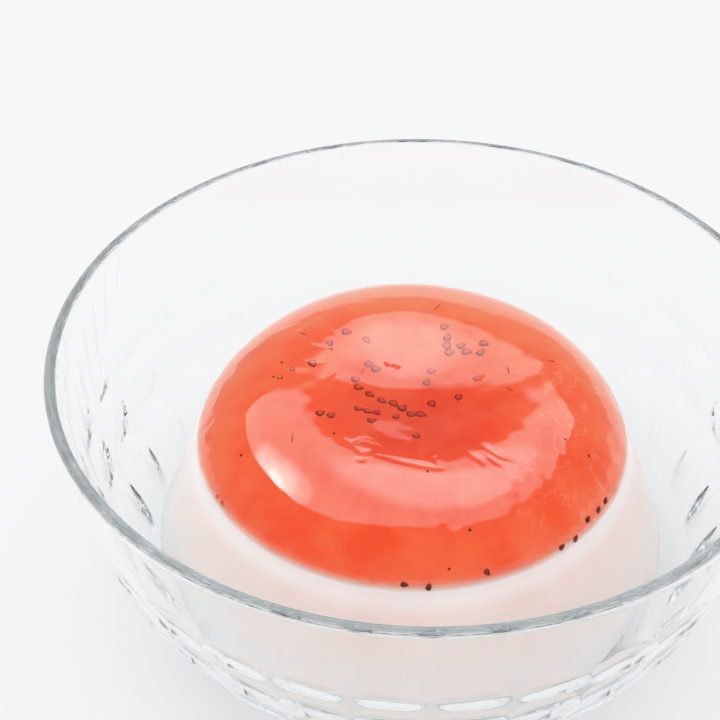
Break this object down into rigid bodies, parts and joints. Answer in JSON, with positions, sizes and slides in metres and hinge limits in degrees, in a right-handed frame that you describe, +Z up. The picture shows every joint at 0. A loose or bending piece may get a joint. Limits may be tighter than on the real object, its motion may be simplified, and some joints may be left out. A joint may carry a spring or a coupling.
{
  "type": "moulded jelly in a glass bowl",
  "caption": "Moulded jelly of a clear red strawberry layer over a milky layer, with a dented top and seeds, turned out into a clear pressed-glass dessert bowl.",
  "frame": {"origin": "centre of the bowl's foot, on the surface it stands on", "axes": "+Z up along the bowl's axis, -Y towards the viewer, +X to the viewer's right"},
  "size_m": [0.1138, 0.114, 0.05],
  "materials": {
    "pressed_glass": "clear polished soda-lime glass, faintly green at the lip",
    "milk_jelly": "cloudy pinkish-white milk jelly with a wet sheen",
    "strawberry_jelly": "translucent orange-red jelly, wet and glossy, with brown strawberry seeds in the skin"
  },
  "bodies": {
    "root": {"glass_bowl": "pressed_glass", "milk_layer": "milk_jelly", "strawberry_layer": "strawberry_jelly"}
  },
  "joints": []
}
